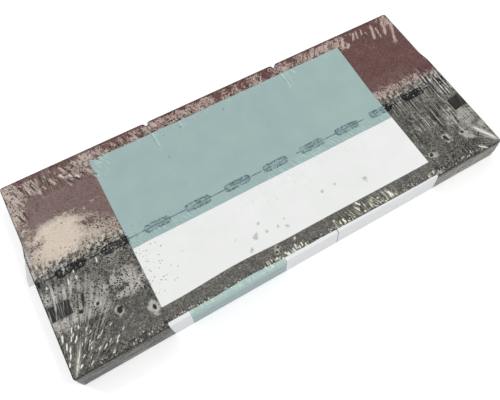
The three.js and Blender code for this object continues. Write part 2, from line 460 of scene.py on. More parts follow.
def mark_left_tabs(c):
    """Dust, brushed strokes and creases at the left end of the tabs, with painted glints and painted
    shade.
    """
    c.band(14, 230, 22, -520, -300, veil=0.27)
    c.patch(-470, 120, 60, 70, soft=0.8, ragged=0.2, veil=0.07)
    c.band(166, 230, 9, -470, -316, ragged=5, veil=-0.6)
    c.patch(-402, 190, 32, 30, soft=0.5, ragged=0.2, pale=0.12, fold=0.5, dark=0.12)
    c.each(c.patch, "pale speck", (
        (-498, 165, 32, 64, 0, 0.4, 0.15, 0.76, 0.8), (-470, 196, 36, 32, 0, 0.4, 0.2, 0.58, 0.6),
        (-434, 184, 12, 26, 12, 0.5, 0.15, 0.58, 0.4), (-338, 182, 36, 24, -12, 0.5, 0.25, 0.54, 0.8),
        (-450, 216, 18, 8, 0, 0.5, 0.3, -0.8, 0), (-488, 80, 14, 22, 0, 0.5, 0.3, -0.4, 0),
    ))
    c.each(c.stroke, "pale", (
        (-425, 207, -423, 189, 2.2, 0.9), (-417, 182, -411, 168, 3, 0.8),
        (-401, 192, -390, 168, 3.2, 0.9), (-380, 192, -364, 168, 3.6, 1),
        (-376, 210, -359, 186, 2.6, 0.9), (-364, 182, -351, 164, 3.2, 1),
        (-352, 176, -340, 161, 3.2, 0.9), (-371, 166, -361, 148, 2, 0.8),
        (-344, 208, -330, 190, 2.6, 0.8), (-466, 176, -458, 160, 3, 0.7),
        (-430, 180, -424, 162, 3.2, 0.9), (-322, 176, -314, 156, 2.6, 0.8),
        (-452, 206, -443, 172, 2.6, 0.8), (-409, 206, -404, 194, 1.9, 0.7),
        (-394, 212, -389, 200, 1.9, 0.6), (-386, 204, -382, 192, 1.8, 0.6),
        (-414, 196, -408, 184, 1.8, 0.6), (-390, 186, -386, 174, 1.8, 0.6),
        (-478, 208, -466, 172, 2.8, 0.7), (-490, 200, -480, 150, 3, 0.7),
    ), lift=0.5)
    # painted glints on three folds
    for x, y in ((-375, 184), (-358, 174), (-345, 166)):
        c.stroke(x - 2, y + 7, x + 4, y - 6, 1.7, shine=0.95)
    # painted shade beside the brushed strokes
    c.each(c.stroke, "dark", (
        (-406, 196, -399, 156, 1.5, 0.5), (-394, 168, -387, 147, 1.5, 0.55),
        (-383, 172, -366, 148, 1.6, 0.6), (-372, 176, -352, 151, 1.8, 0.8),
        (-360, 180, -343, 153, 1.8, 0.85), (-349, 170, -337, 150, 1.6, 0.6),
        (-421, 176, -416, 148, 1.5, 0.5), (-484, 142, -473, 112, 1.9, 0.95),
        (-471, 146, -467, 114, 1.6, 0.8), (-449, 146, -446, 122, 1.5, 0.6),
        (-445, 142, -442, 122, 1.3, 0.5), (-442, 150, -437, 136, 1.4, 0.6),
        (-462, 206, -454, 178, 1.8, 0.75), (-440, 200, -430, 168, 1.8, 0.8),
        (-451, 192, -448, 164, 1.6, 0.6), (-476, 204, -470, 176, 1.6, 0.6),
        (-488, 186, -484, 162, 1.5, 0.55), (-416, 202, -411, 170, 1.5, 0.5),
        (-334, 176, -326, 156, 1.5, 0.6), (-368, 206, -352, 176, 1.6, 0.6),
        (-330, 204, -321, 184, 1.5, 0.5), (-497, 196, -493, 170, 1.5, 0.6),
        (-481, 206, -478, 190, 1.4, 0.5), (-463, 168, -458, 152, 1.4, 0.5),
    ), pale=-0.7, lift=-0.25)
    # painted highlights on short folds
    for x0, y0, x1, y1 in ((-479, 138, -471, 116), (-474, 134, -467, 116), (-452, 142, -449, 126)):
        c.stroke(x0, y0, x1, y1, 1.0, shine=0.4, lift=0.3)


def mark_cream(c):
    """The cream patch of dust by the tabs' root, at the left end, and the pink one at the right."""
    c.each(c.patch, "pale speck", (
        (-428, 62, 46, 34, -8, 0.36, 0.08, 1, 0), (-434, 34, 46, 26, 0, 0.45, 0.1, 0.95, 0),
        (-390, 62, 52, 27, -16, 0.6, 0.1, 0.74, 0), (-386, 30, 40, 18, 0, 0.6, 0.1, 0.36, 0.15),
        (-336, 30, 46, 26, 0, 0.6, 0.1, 0.5, 0.3), (-482, 38, 21, 34, 0, 0.6, 0.2, 0.56, 0.2),
        (-467, 68, 12, 11, 30, 0.6, 0.2, 0.6, 0), (-366, 60, 18, 7, -10, 0.7, 0.3, -0.55, 0.5),
        (-350, 46, 30, 12, -8, 0.7, 0.3, -0.3, 0.5), (-466, 58, 13, 8, 30, 0.7, 0.3, -0.4, 0.4),
        (-420, 77, 12, 7, 0, 0.5, 0.3, -0.1, 0.3),
    ))
    c.band(-12, 12, 8, -520, -300, ragged=6, pale=0.5, speck=0.8)
    c.band(92, 104, 5, -492, -380, ragged=4, pale=0.34)
    c.patch(-484, 84, 15, 15, soft=0.8, pale=0.3, speck=0.1)
    for x, y, size in (
        (-398, 100, 2.5), (-378, 99, 2.2), (-360, 90, 2.6), (-339, 96, 3.4), (-325, 98, 2.8),
    ):
        c.patch(x, y, size * 1.8, size, soft=0.8, ragged=0.5, pale=0.52)
    c.each(c.band, "pale veil speck", (
        (9, 31, 7, 318, 452, 7, 0.66, 0, 0.8), (-8, 8, 6, 318, 520, 6, 0.4, 0, 0.5),
        (8, 26, 7, 440, 520, 6, 0.45, 0, 0.5), (28, 66, 12, 318, 440, 8, 0.2, 0.05, 0),
    ))
    rng = np.random.default_rng(9)
    for x0, x1, count in ((-500, -312, 60), (326, 500, 60)):
        for x, y in zip(rng.uniform(x0, x1, count), rng.uniform(-8, 16, count)):
            c.patch(x, y, rng.uniform(2, 4.5), rng.uniform(2, 4), soft=0.7, pale=0.7, speck=-0.5)
            width, depth = rng.uniform(2, 3.5), rng.uniform(2, 3.5)
            c.patch(x + 5, y - 3, width, depth, soft=0.7, pale=-0.6, dark=0.3)


def mark_far_edge(c):
    """The strip of tabs behind the panel: pale speckle, broken by places where the red shows."""
    c.band(186, 217, 3, -330, 345, ragged=4, pale=0.64, speck=0.6)
    c.patch(-316, 203, 20, 16, soft=0.5, pale=0.4)
    c.patch(-284, 205, 22, 14, soft=0.6, ragged=0.5, pale=-0.22)
    for x0, x1 in ((-262, -214), (-206, -178), (-6, 20), (34, 50), (62, 92), (118, 158), (200, 222)):
        c.patch((x0 + x1) / 2, 203, (x1 - x0) / 2, 15, soft=0.5, pale=-0.7, speck=-0.4)
    c.band(214, 226, 1.5, -330, 345, ragged=2, pale=-0.5)
    c.band(213, 226, 1.5, -520, 520, ragged=3, dark=0.3, speck=0.5)
    rng = np.random.default_rng(12)
    for x in rng.uniform(-325, 345, 60):
        y, length, lean = rng.uniform(198, 216), rng.uniform(9, 20), rng.uniform(0.2, 0.55)
        end_x = x + (1 if x < 0 else -1) * lean * length
        c.stroke(x, y, end_x, y - length, rng.uniform(1.8, 2.8), pale=0.7, lift=0.2)
    for slot in SLOT_X:
        c.stroke(slot, 216, slot, 168, 2.6, veil=0.75, pale=-0.9, speck=-0.9)


def mark_right_tabs(c):
    """Brushed strokes at the right end of the tabs."""
    c.band(30, 230, 30, 330, 520, veil=0.04)
    c.each(c.stroke, "pale", (
        (360, 213, 336, 166, 4.6, 1), (363, 186, 349, 169, 3.6, 1), (393, 210, 374, 180, 3, 0.95),
        (400, 213, 389, 180, 2.8, 0.9), (414, 209, 404, 186, 2.6, 0.9), (418, 198, 419, 182, 2, 0.8),
        (444, 212, 425, 158, 4.6, 1), (450, 200, 443, 154, 3, 0.85), (480, 214, 455, 154, 5, 0.95),
        (498, 200, 478, 158, 5, 0.95), (482, 166, 465, 130, 4.6, 0.85), (462, 214, 461, 203, 1.8, 0.9),
        (436, 186, 425, 160, 3, 0.9), (384, 214, 379, 200, 2.2, 0.8), (372, 214, 369, 204, 2, 0.8),
    ), lift=0.6)
    c.patch(346, 194, 16, 22, soft=0.4, ragged=0.4, pale=0.5, speck=0.4)
    c.patch(486, 203, 17, 18, soft=0.5, ragged=0.4, pale=0.72, speck=0.3)
    c.patch(465, 130, 8, 8, soft=0.9, pale=0.5)


def mark_holes(c):
    """Small holes and tears in the film, with light rims, and dark creases; their dark is partly painted
    shade.
    """
    for x, y, width, depth, lean, rim in (
        (-380, -142, 4.4, 4.8, -20, 10), (-375, -139, 3.4, 3.2, 0, 0), (-381, -146, 2.8, 2.4, 0, 0),
        (397, -154, 3, 4, 30, 10), (400, -158, 2.2, 2, 0, 0), (-412, -111, 2.6, 3, 0, 8),
        (-322, -126, 2.2, 4.6, 0, 5), (-445, -110, 2.8, 3, 0, 0), (-453, -83, 1.6, 6, -12, 0),
        (395, -148, 2.6, 3.6, 0, 10), (406, -159, 1.8, 1.8, 0, 5), (439, -156, 2.6, 4.4, 40, 8),
        (342, -170, 3.2, 4.4, -40, 8), (470, -178, 2.4, 2.2, 0, 4), (-60, -185, 2.6, 3.2, 0, 8),
        (-66, -193, 2.4, 2.2, 0, 6), (-316, -91, 1.8, 3.6, 0, 0), (-321, -112, 1.6, 2.6, 0, 0),
        (356, -20, 1.6, 1.6, 0, 0),
    ):
        if rim:
            c.patch(x, y, rim * 0.8, rim, soft=0.7, pale=0.84, speck=-1, lift=0.3)
        # the hole's dark is partly painted shade
        c.patch(x, y, width, depth, lean, soft=0.4, ragged=0.4,
                pale=-1, veil=-1, fold=-1, dark=1, lift=-0.3)
    c.patch(-323, -171, 11, 17, soft=0.6, ragged=0.15, pale=0.9, speck=-1, fold=-1, lift=0.3)
    c.patch(-322, -171, 2.4, 6.0, soft=0.4, pale=-1, dark=1.0, lift=-0.4)
    c.patch(350, -174, 9, 7, -30, soft=0.6, pale=0.7)
    # dark creases and tears, whose dark is painted shade
    c.each(c.stroke, "dark", (
        (-429, -74, -438, -104, 2.3, 1), (-380, -52, -377, -130, 1.6, 0.5),
        (411, -56, 408, -146, 2.3, 0.75), (422, -82, 417, -102, 2, 0.9), (454, -92, 449, -142, 1.8, 0.6),
        (434, -128, 437, -148, 1.8, 0.6), (348, -92, 341, -150, 1.8, 0.7),
        (398, -110, 400, -142, 1.3, 0.4), (352, 0, 349, -60, 1.6, 0.45), (-497, -6, -495, -30, 2, 1),
        (395, 32, 396, 10, 1.6, 0.5), (416, 10, 414, -6, 1.4, 0.5),
    ), pale=-0.8, lift=-0.3)


def mark_header(c):
    """Haze, flecks and pleats over the grey granules at both ends, the pleats drawn as painted highlights
    and painted shade.
    """
    c.band(-66, -8, 12, -520, -300, pale=0.31, speck=0.45)
    c.band(-128, -44, 14, -520, -384, ragged=8, pale=0.42, speck=0.25)
    c.each(c.patch, "pale speck", (
        (-343, -97, 37, 29, 0, 0.76, 1), (-352, -116, 24, 9, 0, 0.4, 0.2),
        (-428, -114, 36, 18, 6, 0.42, 0.2), (-480, -118, 28, 14, 0, 0.45, 0.2),
        (-404, -136, 18, 14, 35, 0.38, 0), (-400, -84, 26, 20, 0, 0.2, 0.2),
        (-480, -56, 30, 14, 0, 0.25, 0.4), (-392, -158, 26, 12, 0, 0.2, 0),
        (-362, -50, 24, 16, 0, 0.12, 0.2), (-338, -24, 30, 12, 0, 0.2, 0.5),
        (470, -126, 42, 32, 0, 0.66, 0), (446, -170, 15, 14, -20, 0.62, 0),
        (404, -92, 52, 34, 0, 0.4, 0.2), (484, -48, 24, 30, 0, 0.46, 0.2),
        (366, -44, 14, 36, 0, 0.36, 0.4), (490, -176, 14, 34, -25, 0.5, 0),
        (352, -106, 24, 18, 0, 0.28, 0.1), (332, -214, 12, 6, 0, 0.6, 0), (432, -30, 20, 30, 0, 0.3, 0.5),
    ), soft=0.6, ragged=0.22)
    c.patch(-355, -182, 40, 32, soft=0.5, ragged=0.2, veil=0.1, pale=-0.6)
    c.patch(-400, -52, 24, 15, soft=0.6, pale=-0.45)
    c.patch(-360, -105, 13, 6, 12, soft=0.5, pale=-0.65)
    c.band(-224, -184, 8, 330, 460, pale=0.12, speck=0.5)
    # where long folds show as painted highlights and painted shade
    c.each(c.patch, "pale fold", (
        (-462, -176, 34, 40, 20, 0.6, 0.3, 0.16, 0), (-455, -70, 50, 60, 0, 0.6, 0.2, 0, 0.55),
        (-450, -160, 50, 60, 0, 0.6, 0.2, 0, 0.48), (415, -60, 90, 80, 0, 0.4, 0.2, 0, 0.8),
        (484, -30, 34, 62, 0, 0.4, 0.2, 0, 0.9), (450, -196, 44, 26, 0, 0.5, 0.2, 0, 0.8),
    ))


def mark_folds(c):
    """The drawn folds that run to the near corners, in painted highlights, sheen and shade, and the
    painted glints beside them.
    """
    # painted highlights on long thin folds down the left end, and on one along its upper edge
    c.each(c.stroke, "shine", (
        (-496, 94, -496, -22, 1.8, 0.6), (-478, 36, -492, 4, 1.5, 0.4), (-449, 44, -460, -2, 1.5, 0.35),
        (-444, 4, -444, -26, 2.2, 0.6), (-452, -34, -462, -72, 2.6, 0.46),
        (-472, -14, -486, -98, 1.9, 0.46), (-478, -40, -492, -130, 1.5, 0.4),
        (-463, -60, -482, -130, 1.6, 0.4), (-496, -24, -499, -120, 1.6, 0.45),
        (-466, -30, -476, -70, 1.5, 0.4), (-440, -20, -452, -70, 1.4, 0.32),
        (-488, -90, -497, -160, 1.8, 0.42),
    ), lift=0.5)
    # short painted glints on the folds of the left end
    for x, y, tall, lean in (
        (-443, -34, 18, 2), (-428, -36, 12, 0), (-380, -20, 16, 2), (-428, -24, 8, 1), (-484, -30, 8, 1),
        (-470, -126, 13, 5), (-476, -142, 13, 5), (-458, -130, 9, 3), (-484, -160, 11, 6),
        (-489, -172, 13, 5), (-490, -132, 17, 5), (-488, -150, 16, 6), (-472, -152, 8, 4),
        (-496, -186, 10, 3), (-467, -146, 10, 5),
    ):
        c.stroke(x, y, x - lean, y - tall, 1.6, shine=0.95, lift=0.5)
    # a painted sheen over the fold that runs into the left corner, and painted highlights along it
    c.stroke(-460, -150, -500, -221, 5.0, veil=0.5, lift=0.6)
    c.each(c.stroke, "shine lift", (
        (-458, -150, -494, -210, 1.3, 0.45, 0.6), (-470, -174, -498, -219, 1.5, 0.62, 0.8),
        (-466, -178, -496, -216, 1.2, 0.4, 0.4), (-476, -196, -499, -222, 1.6, 0.4, 0.6),
    ))
    # painted glints in rays from the left corner
    for x, y, length, angle in (
        (-446, -170, 11, 222), (-400, -156, 12, 205), (-413, -182, 12, 222), (-424, -188, 14, 218),
        (-398, -184, 13, 215), (-466, -186, 10, 215), (-430, -166, 10, 215), (-456, -204, 12, 215),
        (-440, -150, 9, 222), (-386, -176, 9, 218), (-404, -192, 8, 218), (-476, -200, 10, 222),
        (-420, -160, 16, 218), (-436, -186, 10, 220), (-444, -140, 12, 228), (-452, -158, 14, 230),
    ):
        dx, dy = math.cos(math.radians(angle)) * length, math.sin(math.radians(angle)) * length
        c.stroke(x, y, x + dx, y + dy, 1.4, shine=0.8, lift=0.5)
    c.patch(-474, -166, 30, 44, 20, soft=0.5, ragged=0.2, glint=0.54)
    c.patch(-424, -176, 40, 28, 30, soft=0.6, ragged=0.2, glint=0.24, fold=0.3)
    # the right corner's fold in painted sheen, highlights and shade, and the pleats above it in painted
    # highlights and shade
    c.stroke(458, -138, 504, -226, 10.0, veil=0.75, lift=0.6)
    c.stroke(462, -150, 502, -221, 4.4, veil=0.6, shine=0.5, lift=0.8)
    c.stroke(468, -154, 501, -217, 2.8, shine=0.42, lift=0.8)
    c.stroke(486, -158, 502, -202, 2.4, dark=0.45, lift=-0.3)
    c.stroke(444, -202, 466, -222, 2.2, shine=0.8, lift=0.6)
    c.stroke(430, -196, 448, -216, 2.0, shine=0.4, lift=0.4)
    c.patch(440, -204, 50, 16, soft=0.5, ragged=0.2, glint=0.35)
    for x, top, low, shine in (
        (457, 72, -110, 0.5), (467, 22, -12, 0.65), (478, 4, -62, 0.75), (492, 26, -66, 0.65),
        (432, -24, -64, 0.4), (461, -36, -100, 0.4), (485, -28, -66, 0.5), (498, -20, -62, 0.5),
        (470, -24, -70, 0.5), (464, 8, -60, 0.4), (473, 24, -40, 0.4), (487, 20, -30, 0.45),
        (445, -60, -120, 0.35),
    ):
        c.stroke(x, top, x - 1, low, 1.5, shine=shine, lift=0.7)
    for x, top, low in (
        (460, 20, -70), (474, 10, -72), (482, 8, -70), (489, 0, -68), (452, 30, -20), (496, 10, -68),
    ):
        c.stroke(x, top, x - 1, low, 1.6, dark=0.75, pale=-0.5, lift=-0.3)


def mark_near_edge(c):
    """Painted glints across the near edge, thickest by the middle and right of it, with painted shade
    between them, and beads along it.
    """
    c.band(-212, -186, 4, 62, 222, glint=0.6, fold=1.0)
    c.band(-216, -199, 4, -98, -2, glint=0.66, fold=0.3)
    c.band(-216, -204, 3, -311, 325, glint=0.42, speck=0.4)
    c.band(-218, -172, 3, -311, 325, veil=0.12)
    # painted glints
    c.each(c.stroke, "", (
        (-54, -200, -48, -212, 3), (-35, -200, -34, -212, 2.4), (-28, -192, -26, -212, 2),
        (-74, -202, -67, -210, 2.8), (-20, -182, -20, -190, 2.4), (-15, -198, -13, -210, 2),
        (-261, -202, -260, -211, 2), (86, -198, 91, -209, 2.2), (126, -190, 131, -203, 2.2),
        (129, -180, 141, -194, 2.2), (142, -192, 146, -202, 2.2), (204, -192, 210, -208, 2.4),
        (176, -193, 180, -200, 2), (69, -189, 74, -203, 2), (318, -202, 320, -210, 2.8),
    ), shine=0.95, lift=0.6)
    # painted shade between the glints
    for x in (73, 136, 170, 198):
        c.stroke(x - 8, -184, x + 7, -213, 2.6, dark=0.55, lift=-0.2)
    for x0, x1 in ((-440, -311), (325, 460)):
        c.band(-226, -202, 4, x0, x1, glint=0.46, speck=0.8)


def mark_panel(c):
    """Wear of the printed panel: wrinkles by its far corner and its border, in painted highlights and
    painted shade, and grey smudges, with a painted shade line over each slot.
    """
    c.patch(-300, 174, 28, 32, -30, soft=0.6, ragged=0.2, pleat=0.76)
    c.band(172, 190, 8, -311, 332, pleat=0.3)
    c.patch(150, -36, 175, 12, soft=0.5, ragged=0.2, pleat=0.76)
    c.patch(60, -72, 150, 24, soft=0.6, pleat=0.4)
    c.patch(-225, -34, 90, 14, soft=0.6, pleat=0.6)
    # painted highlights on the panel's drawn folds
    for x, low in ((SLOT_X[0] + 4, 128), (-97, 160), (SLOT_X[1] + 4, 120), (182, 146), (196, 156)):
        c.stroke(x, 204, x + 1, low, 4.0, pleat=1.0, lift=0.3)
    # a painted shade line on the dark side of the crease over each slot
    for slot in SLOT_X:
        c.stroke(slot - 1, 196, slot - 1, 140, 3.4, smudge=0.5, lift=-0.3)
    for x in (-262, -172, -156, -127, -95, 163, 198, 220, 287):
        c.patch(x, 190, 3.2, 2.6, soft=0.5, dark=0.9)
    for x, y, size in (
        (-125, -128, 3), (-88, -143, 5), (-106, -163, 4), (-62, -144, 3.6), (-68, -120, 2),
        (-35, -146, 2.6), (-17, -138, 2.2), (-20, -156, 3), (85, -126, 3), (117, -123, 3), (180, -146, 5),
        (-84, -120, 1.6), (-143, 170, 2), (-102, 171, 2.6), (4, 165, 2.4), (-157, 112, 3),
    ):
        c.patch(x, y, size * 1.2, size * 1.6, -20, soft=0.5, ragged=0.5, smudge=0.7)


def draw_film(x, y):
    c = Canvas(x, y)
    c.lift += 0.12 * waves(x, y, 60, 1) + 0.06 * waves(x, y, 17, 2)
    for draw in (mark_left_tabs, mark_cream, mark_far_edge, mark_right_tabs, mark_header, mark_holes,
                 mark_folds, mark_near_edge, mark_panel):
        draw(c)
    return c


# ---- film: mesh ------------------------------------------
WALL_ROWS = 12
BEND = [math.radians(a) for a in (30, 60, 90)]
RESTING = TOP_SHEET + 0.15  # the film lies this high where it touches the top sheet
EDGE_HIGH, EDGE_FALL = HEIGHT - 0.3, 14  # its height at its edge, and the way over which it falls
HIGHEST = HEIGHT + 2.0  # no fold stands higher
SEAM_Y, LAP, SEAM_BACK = 12.0, 24.0, 8.0
SEAM_COLUMNS, SEAM_ROWS = 150, 5
SEAM_OVER, SEAM_UNDER = 0.42, 0.02  # heights of the two panels where they lap
OPENING_REACH = 0.14  # points this share away from an opening's edge are drawn to it
LIP_TURNS, LIP_SIDES, LIP_RADIUS = 84, 6, 0.9
EAR_START, EAR_END, EAR_WIDTH, EAR_HIGH, EAR_DROP = 84, -2, 18.5, 34, 5


def quads(index):
    """Faces over a grid of point numbers, facing the side from which they run anticlockwise."""
    corners = (index[:-1, :-1], index[1:, :-1], index[1:, 1:], index[:-1, 1:])
    return np.stack(corners, -1).reshape(-1, 4)


def wall_rows(ring, outward, top):
    """The film's way down the sides from the top's edge, as rows of points, in millimetres."""
    spots = []
    for angle in BEND:
        spots.append((RIM * math.sin(angle), top - RIM * (1 - math.cos(angle)), 0.0))
    for step in range(1, WALL_ROWS + 1):
        share = step / WALL_ROWS
        spots.append((RIM, (top - RIM) * (1 - share) + RIM * share, math.sin(math.pi * share)))
    for angle in reversed(BEND[:-1]):
        spots.append((RIM * math.sin(angle), np.full_like(top, RIM * (1 - math.cos(angle))), 0.0))
    spots.append((0.0, np.zeros_like(top), 0.0))
    rows = []
    for out, height, slack in spots:
        bulge = slack * (0.35 * waves(ring[:, 0] + ring[:, 1], height * 3, 45, 21) + 0.3)
        flat = ring + outward * (out + np.maximum(bulge, -0.3))[:, None]
        rows.append(np.column_stack([flat, height]))
    return rows


def cut_openings(points, faces):
    """Takes the faces inside the end openings away, with the points beside them drawn to the edge."""
    end = np.abs(points[:, 0]) > HALF_X - STEP_INSET - 3
    side = end & (points[:, 2] > RIM) & (points[:, 2] < HEIGHT - RIM)
    dy, dz = points[:, 1] - OPENING_Y, points[:, 2] - OPENING_Z
    far = np.hypot(dy / (OPENING_LENGTH / 2), dz / (OPENING_HEIGHT / 2))
    near = side & (np.abs(far - 1) < OPENING_REACH)
    points[near, 1] = OPENING_Y + dy[near] / far[near]
    points[near, 2] = OPENING_Z + dz[near] / far[near]
    inside = (side & (far < 1)) | near
    return faces[~inside[faces].all(axis=1)]


def underside(ring, first):
    """The film below the stack: two panels that lap along a wavy seam.

    ring is the lowest row of the sides, numbered from first on. Gives points and two lists of faces.
    """
    points, faces, many = [], [], []
    for side in (-1, 1):
        start_y = SEAM_Y + side * (LAP / 2 + SEAM_BACK)
        ends = []
        for end in (-1, 1):
            away = np.hypot(ring[:, 1] - start_y, ring[:, 0] - end * TOP_X)
            ends.append(int(np.argmin(away)))
        left, right = ends
        share = np.linspace(0, 1, SEAM_COLUMNS + 1)[:, None]
        base = ring[left] * (1 - share) + ring[right] * share
        wavy = waves(base[:, 0], base[:, 1], 70, 31 + side)
        rows = []
        for step in np.linspace(0, 1, SEAM_ROWS + 1):
            row = base.copy()
            row[:, 1] += -side * step * (LAP + SEAM_BACK) + step * 0.8 * wavy
            row[:, 2] += step * (SEAM_OVER if side < 0 else SEAM_UNDER)
            row[:, 2] += step * 0.1 * (1 + np.sin(base[:, 0] / 9 + 2 * np.sin(base[:, 0] / 31)))
            rows.append(row)
        index = first + len(ring) + sum(len(p) for p in points) + np.arange(len(base) * len(rows))
        index = index.reshape(len(rows), len(base))
        index[0, 0], index[0, -1] = first + left, first + right
        points.append(np.concatenate(rows))
        faces.append(quads(index) if side < 0 else quads(index)[:, ::-1])
        if side < 0:
            outline = list(range(left, len(ring))) + list(range(0, right + 1))
            border = [first + i for i in outline] + list(index[0, 1:-1][::-1])
        else:
            outline = list(range(right, left + 1))
            border = [first + i for i in outline] + list(index[0, 1:-1])
        many.append([int(i) for i in border[::-1]])
    return np.concatenate(points), np.concatenate(faces), many


def lip(side):
    """The bead of shrunk film round an end opening."""
    angle = np.linspace(0, 2 * math.pi, LIP_TURNS, endpoint=False)[:, None]
    section = np.linspace(0, 2 * math.pi, LIP_SIDES, endpoint=False)[None, :]
    thick = LIP_RADIUS * (1 + 0.25 * np.sin(7 * angle + 1) * np.sin(3 * angle))
    out = np.cos(section) * thick
    x = side * (HALF_X + 0.1 + np.sin(section) * thick)
    y = OPENING_Y + np.cos(angle) * (OPENING_LENGTH / 2 + out)
    z = OPENING_Z + np.sin(angle) * (OPENING_HEIGHT / 2 + out)
    index = np.pad(np.arange(x.size).reshape(x.shape), ((0, 1), (0, 1)), "wrap")
    faces = quads(index)
    return np.stack([x, y, z], -1).reshape(-1, 3), faces if side > 0 else faces[:, ::-1]


def ear():
    """The loose ear of film that stands out from the left end."""
    along = np.linspace(EAR_START, EAR_END, 29)[:, None]
    across = np.linspace(0, 1, 5)[None, :]
    x = -HALF_X + 1.5 + 4.5 * smooth(along, 46, 80) - across * (EAR_WIDTH * smooth(along, 97, 4))
    y = along + across * 2
    z = EAR_HIGH - EAR_DROP * across + 1.2 * np.sin(along / 6) * across
    return np.stack([x, y, z], -1).reshape(-1, 3), quads(np.arange(x.size).reshape(x.shape))


def film_mesh():
    gx, gy = np.meshgrid(grid_lines(GRID_X, SLOT_X), grid_lines(GRID_Y), indexing="ij")
    px, py = plan(gx, gy)
    canvas = draw_film(px, py)
    edge = np.minimum(TOP_X - np.abs(gx), TOP_Y - np.abs(gy))
    lift = np.clip(canvas.lift, 0, HIGHEST - RESTING) * smooth(edge, -1, 10)
    z = RESTING + (EDGE_HIGH - RESTING) * (1 - smooth(edge, 0, EDGE_FALL)) + lift
    index = np.arange(px.size).reshape(px.shape)
    faces = [quads(index)]
    points = [np.stack([px, py, z], -1).reshape(-1, 3)]

    loop = np.concatenate([index[:-1, 0], index[-1, :-1], index[:0:-1, -1], index[0, :0:-1]])
    ring, top = points[0][loop, :2], points[0][loop, 2]
    tangent = np.roll(ring, -1, 0) - np.roll(ring, 1, 0)
    tangent /= np.linalg.norm(tangent, axis=1, keepdims=True)
    outward = np.stack([tangent[:, 1], -tangent[:, 0]], 1)
    above, count = loop, px.size
    for row in wall_rows(ring, outward, top):
        below = count + np.arange(len(loop))
        points.append(row)
        faces.append(np.stack([np.roll(above, -1), above, below, np.roll(below, -1)], -1))
        above, count = below, count + len(loop)
    lowest = points[-1]
    points, faces = np.concatenate(points), np.concatenate(faces)
    faces = cut_openings(points, faces)
    seam_points, seam_faces, panels = underside(lowest, len(points) - len(lowest))
    points, faces = np.concatenate([points, seam_points]), np.concatenate([faces, seam_faces])
    for piece_points, piece_faces in (lip(-1), lip(1), ear()):
        faces = np.concatenate([faces, piece_faces + len(points)])
        points = np.concatenate([points, piece_points])

    mesh = bpy.data.meshes.new("film_wrap")
    mesh.from_pydata((points * MM).tolist(), [], faces.tolist() + panels)
    for name in Canvas.MARKS:
        values = np.zeros(len(points), np.float32)
        values[: px.size] = getattr(canvas, name).reshape(-1)
        mesh.attributes.new(name, "FLOAT", "POINT").data.foreach_set("value", values)
    mesh.shade_smooth()
    mesh.validate()
    return mesh


# ---- film: finish ----------------------------------------
def fold_noise(t):
    """Short and long noise along the film's folds, and 1 where these lie aslant.

    They run in rays from the two near corners, aslant right of the middle and upright elsewhere.
    """
    at_left = t.x.fall(-340, -300) * t.y.fall(30, 60)
    at_right = t.x.rise(420, 450) * t.y.fall(-165, -145)
    aslant = t.x.between(50, 240, soft=20)
    short = t.choose(aslant, t.streaks(2.5, 13, 96), t.streaks(3.0, 17, -69))
    short = t.choose(at_left, short, t.fan(NEAR_LEFT, 2.2, 15))
    short = t.choose(at_right, short, t.fan(NEAR_RIGHT, 2.2, 15))
    long = t.choose(aslant, t.streaks(2.4, 60, 90), t.streaks(4.0, 36, -69))
    long = t.choose(at_left, long, t.fan(NEAR_LEFT, 2.4, 60))
    long = t.choose(at_right, long, t.fan(NEAR_RIGHT, 3.0, 50))
    return short, long, aslant


def dust(t, on_tabs, long):
    """Dust of the granules under the film, brushed out over the tabs. Colour and cover."""
    grain, _ = t.cells(2.2)
    soft = t.noise(7, 3, 0.6)
    brush = t.choose(t.x.rise(-100, 100), t.streaks(2.6, 22, -66), t.streaks(2.8, 22, 64))
    over_tabs = t.y.rise(105, 150)
    at_right = t.x.rise(300, 340)
    lumps = t.noise(9, 2).swing(1.2) * at_right
    drawn = long.swing(t.choose(at_right, 1.0, 2.0)) + lumps
    streak = t.choose(over_tabs, drawn * (1 - on_tabs), brush.swing(2.4))
    reach = t.attribute("pale") * (1.06 + streak)
    chance = grain * 0.5 + soft * 0.48
    cover = (reach - chance).rise(-0.2, 0.28)
    cream = t.blend(over_tabs, CREAM, PINK_CREAM)
    colour = t.blend(t.x.rise(-340, 60), cream, PINK)
    colour = t.blend(t.y.rise(-8, 14), PALE_GREY, colour)
    shade = grain * 0.5 + soft * 0.6
    plain = t.attribute("pale").rise(0.8, 1.0)
    depth = shade.rise(0.3, 0.75, 0.5, 0.0) * (1 - plain * 0.7) * t.choose(on_tabs, 1.1, 1.0)
    colour = t.blend(depth, colour, t.blend(on_tabs, HEADER_SHADE, TAB_SHADE))
    return colour, cover * 0.93


def flecks(t):
    """Small dark flecks of uneven size. Cover."""
    chance, from_middle = t.cells(3.3, 1.5, 20)
    ragged = from_middle + t.noise(2.2, 2).swing(0.5)
    speck = t.attribute("speck")
    size = chance.rise(0.2, 1.0, 0.12, 0.33 + speck * 0.23)
    shape = (ragged - size).fall(-0.07, 0.07)
    threshold = 1 - speck * 0.75
    return shape * (chance - threshold).rise(-0.02, 0.02)


def beads(t):
    """Small light and dark beads where the film bends over the near edge: painted glints and painted
    shade. Colours and covers.
    """
    chance, from_middle = t.cells(4.6, 1.3)
    level = t.y - t.x.between(*STRIP_X, soft=6) * 4.5
    row = level.between(-217, -208.5, soft=1.6) * t.x.between(-450, 460, soft=10) * t.near_top(3, 2)
    bead = from_middle.fall(0.22, 0.42) * row
    light = bead * chance.rise(0.5, 0.56) * 0.85
    dark = bead * chance.fall(0.28, 0.34) * 0.7
    return (BEAD_GLINT, light), (SHADE_AND_FLECK_DARK, dark)


